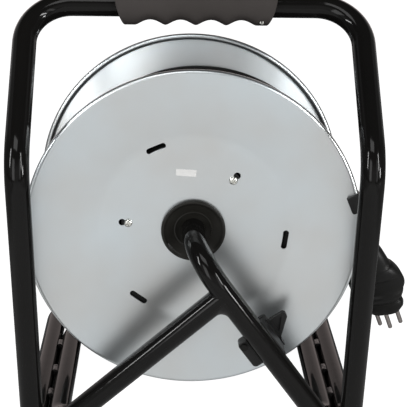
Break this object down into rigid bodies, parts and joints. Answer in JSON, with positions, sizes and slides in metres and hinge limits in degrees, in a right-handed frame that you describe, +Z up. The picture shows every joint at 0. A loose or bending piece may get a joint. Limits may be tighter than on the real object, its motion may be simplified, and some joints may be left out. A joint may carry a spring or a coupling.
{
  "type": "extension cord reel",
  "caption": "Cord reel: a sheet steel drum of black cable on a bent tube stand, with covered sockets and a knob.",
  "frame": {"origin": "on the floor, under the middle of the stand's width and depth", "axes": "+Z up, +X to the right when the drum's plain side and the hub face the viewer, who looks along +Y"},
  "size_m": [0.3397, 0.2578, 0.3654],
  "materials": {
    "black_paint": "gloss",
    "zinc_sheet": "satin",
    "zinc_screw": "satin",
    "bolt_steel": "satin",
    "spring_steel": "satin",
    "black_plastic": "matte",
    "grip_plastic": "matte",
    "cable_rubber": "matte",
    "plug_rubber": "matte",
    "contact_brass": "satin",
    "pin_nickel": "satin",
    "terminal_plastic": "matte",
    "button_plastic": "gloss",
    "label_film": "satin"
  },
  "bodies": {
    "stand": {"hoop_tube": "black_paint", "main_strut_tube": "black_paint", "branch_strut_tube": "black_paint", "branch_weld": "black_paint", "runner_welds": "black_paint", "floor_bar_welds": "black_paint", "axle_plug": "bolt_steel", "axle_washer": "bolt_steel", "axle_bolt": "bolt_steel", "grip_front": "grip_plastic", "grip_rear": "grip_plastic", "grip_screw": "zinc_screw", "brake_saddle": "black_plastic", "brake_pin": "zinc_screw", "saddle_screw": "zinc_screw", "cable_tail": "cable_rubber", "plug_body": "plug_rubber", "plug_collar": "plug_rubber", "plug_pins": "pin_nickel"},
    "drum": {"near_flange": "zinc_sheet", "far_flange": "zinc_sheet", "winding_core": "zinc_sheet", "core_grommet": "cable_rubber", "near_bush": "black_plastic", "far_bush": "black_plastic", "hub_tube": "bolt_steel", "socket_housing": "black_plastic", "flange_screws": "zinc_screw", "socket_panel": "black_plastic", "socket_insert_1": "black_plastic", "socket_insert_2": "black_plastic", "socket_insert_3": "black_plastic", "socket_insert_4": "black_plastic", "lid_hinge_pins": "bolt_steel", "lid_springs": "spring_steel", "socket_contacts": "contact_brass", "panel_screws": "zinc_screw", "thermal_cutout": "black_plastic", "cutout_nut": "bolt_steel", "terminal_block": "terminal_plastic", "inner_lead": "cable_rubber", "knob_boss": "black_plastic", "knob_bolt": "bolt_steel", "rim_clip": "black_plastic", "bare_label": "label_film", "cable_winding": "cable_rubber"},
    "socket_lid_1": {"socket_lid_1": "black_plastic"},
    "socket_lid_2": {"socket_lid_2": "black_plastic"},
    "socket_lid_3": {"socket_lid_3": "black_plastic"},
    "socket_lid_4": {"socket_lid_4": "black_plastic"},
    "reset_button": {"reset_button": "button_plastic"},
    "winding_knob": {"winding_knob": "black_plastic"},
    "brake_lever": {"brake_lever": "black_plastic"}
  },
  "joints": [
    {"name": "drum_spin", "type": "hinge", "parent": "stand", "child": "drum", "pos_m": [0, 0, 0.1755], "axis": [0, 1, 0], "continuous": true},
    {"name": "knob_spin", "type": "hinge", "parent": "drum", "child": "winding_knob", "pos_m": [-0.02891, 0, 0.05955], "axis": [0, 1, 0], "continuous": true},
    {"name": "brake_turn", "type": "hinge", "parent": "stand", "child": "brake_lever", "pos_m": [0.06364, -0.08712, 0.09622], "axis": [-0.5703, -0.043, 0.8203], "range_deg": [0, 85]},
    {"name": "button_press", "type": "slide", "parent": "drum", "child": "reset_button", "axis": [0, -1, 0], "range_m": [0, 0.0025], "stiffness_N_per_m": 600, "springref_m": -0.002},
    {"name": "lid_1_open", "type": "hinge", "parent": "drum", "child": "socket_lid_1", "pos_m": [0.0605, 0.0589, 0.1755], "axis": [0, 0, -1], "range_deg": [0, 110], "stiffness_Nm_per_rad": 0.006, "springref_deg": -40.11},
    {"name": "lid_2_open", "type": "hinge", "parent": "drum", "child": "socket_lid_2", "pos_m": [0, 0.0589, 0.236], "axis": [1, 0, 0], "range_deg": [0, 110], "stiffness_Nm_per_rad": 0.006, "springref_deg": -40.11},
    {"name": "lid_3_open", "type": "hinge", "parent": "drum", "child": "socket_lid_3", "pos_m": [-0.0605, 0.0589, 0.1755], "axis": [0, 0, 1], "range_deg": [0, 110], "stiffness_Nm_per_rad": 0.006, "springref_deg": -40.11},
    {"name": "lid_4_open", "type": "hinge", "parent": "drum", "child": "socket_lid_4", "pos_m": [0, 0.0589, 0.115], "axis": [-1, 0, 0], "range_deg": [0, 110], "stiffness_Nm_per_rad": 0.006, "springref_deg": -40.11}
  ]
}
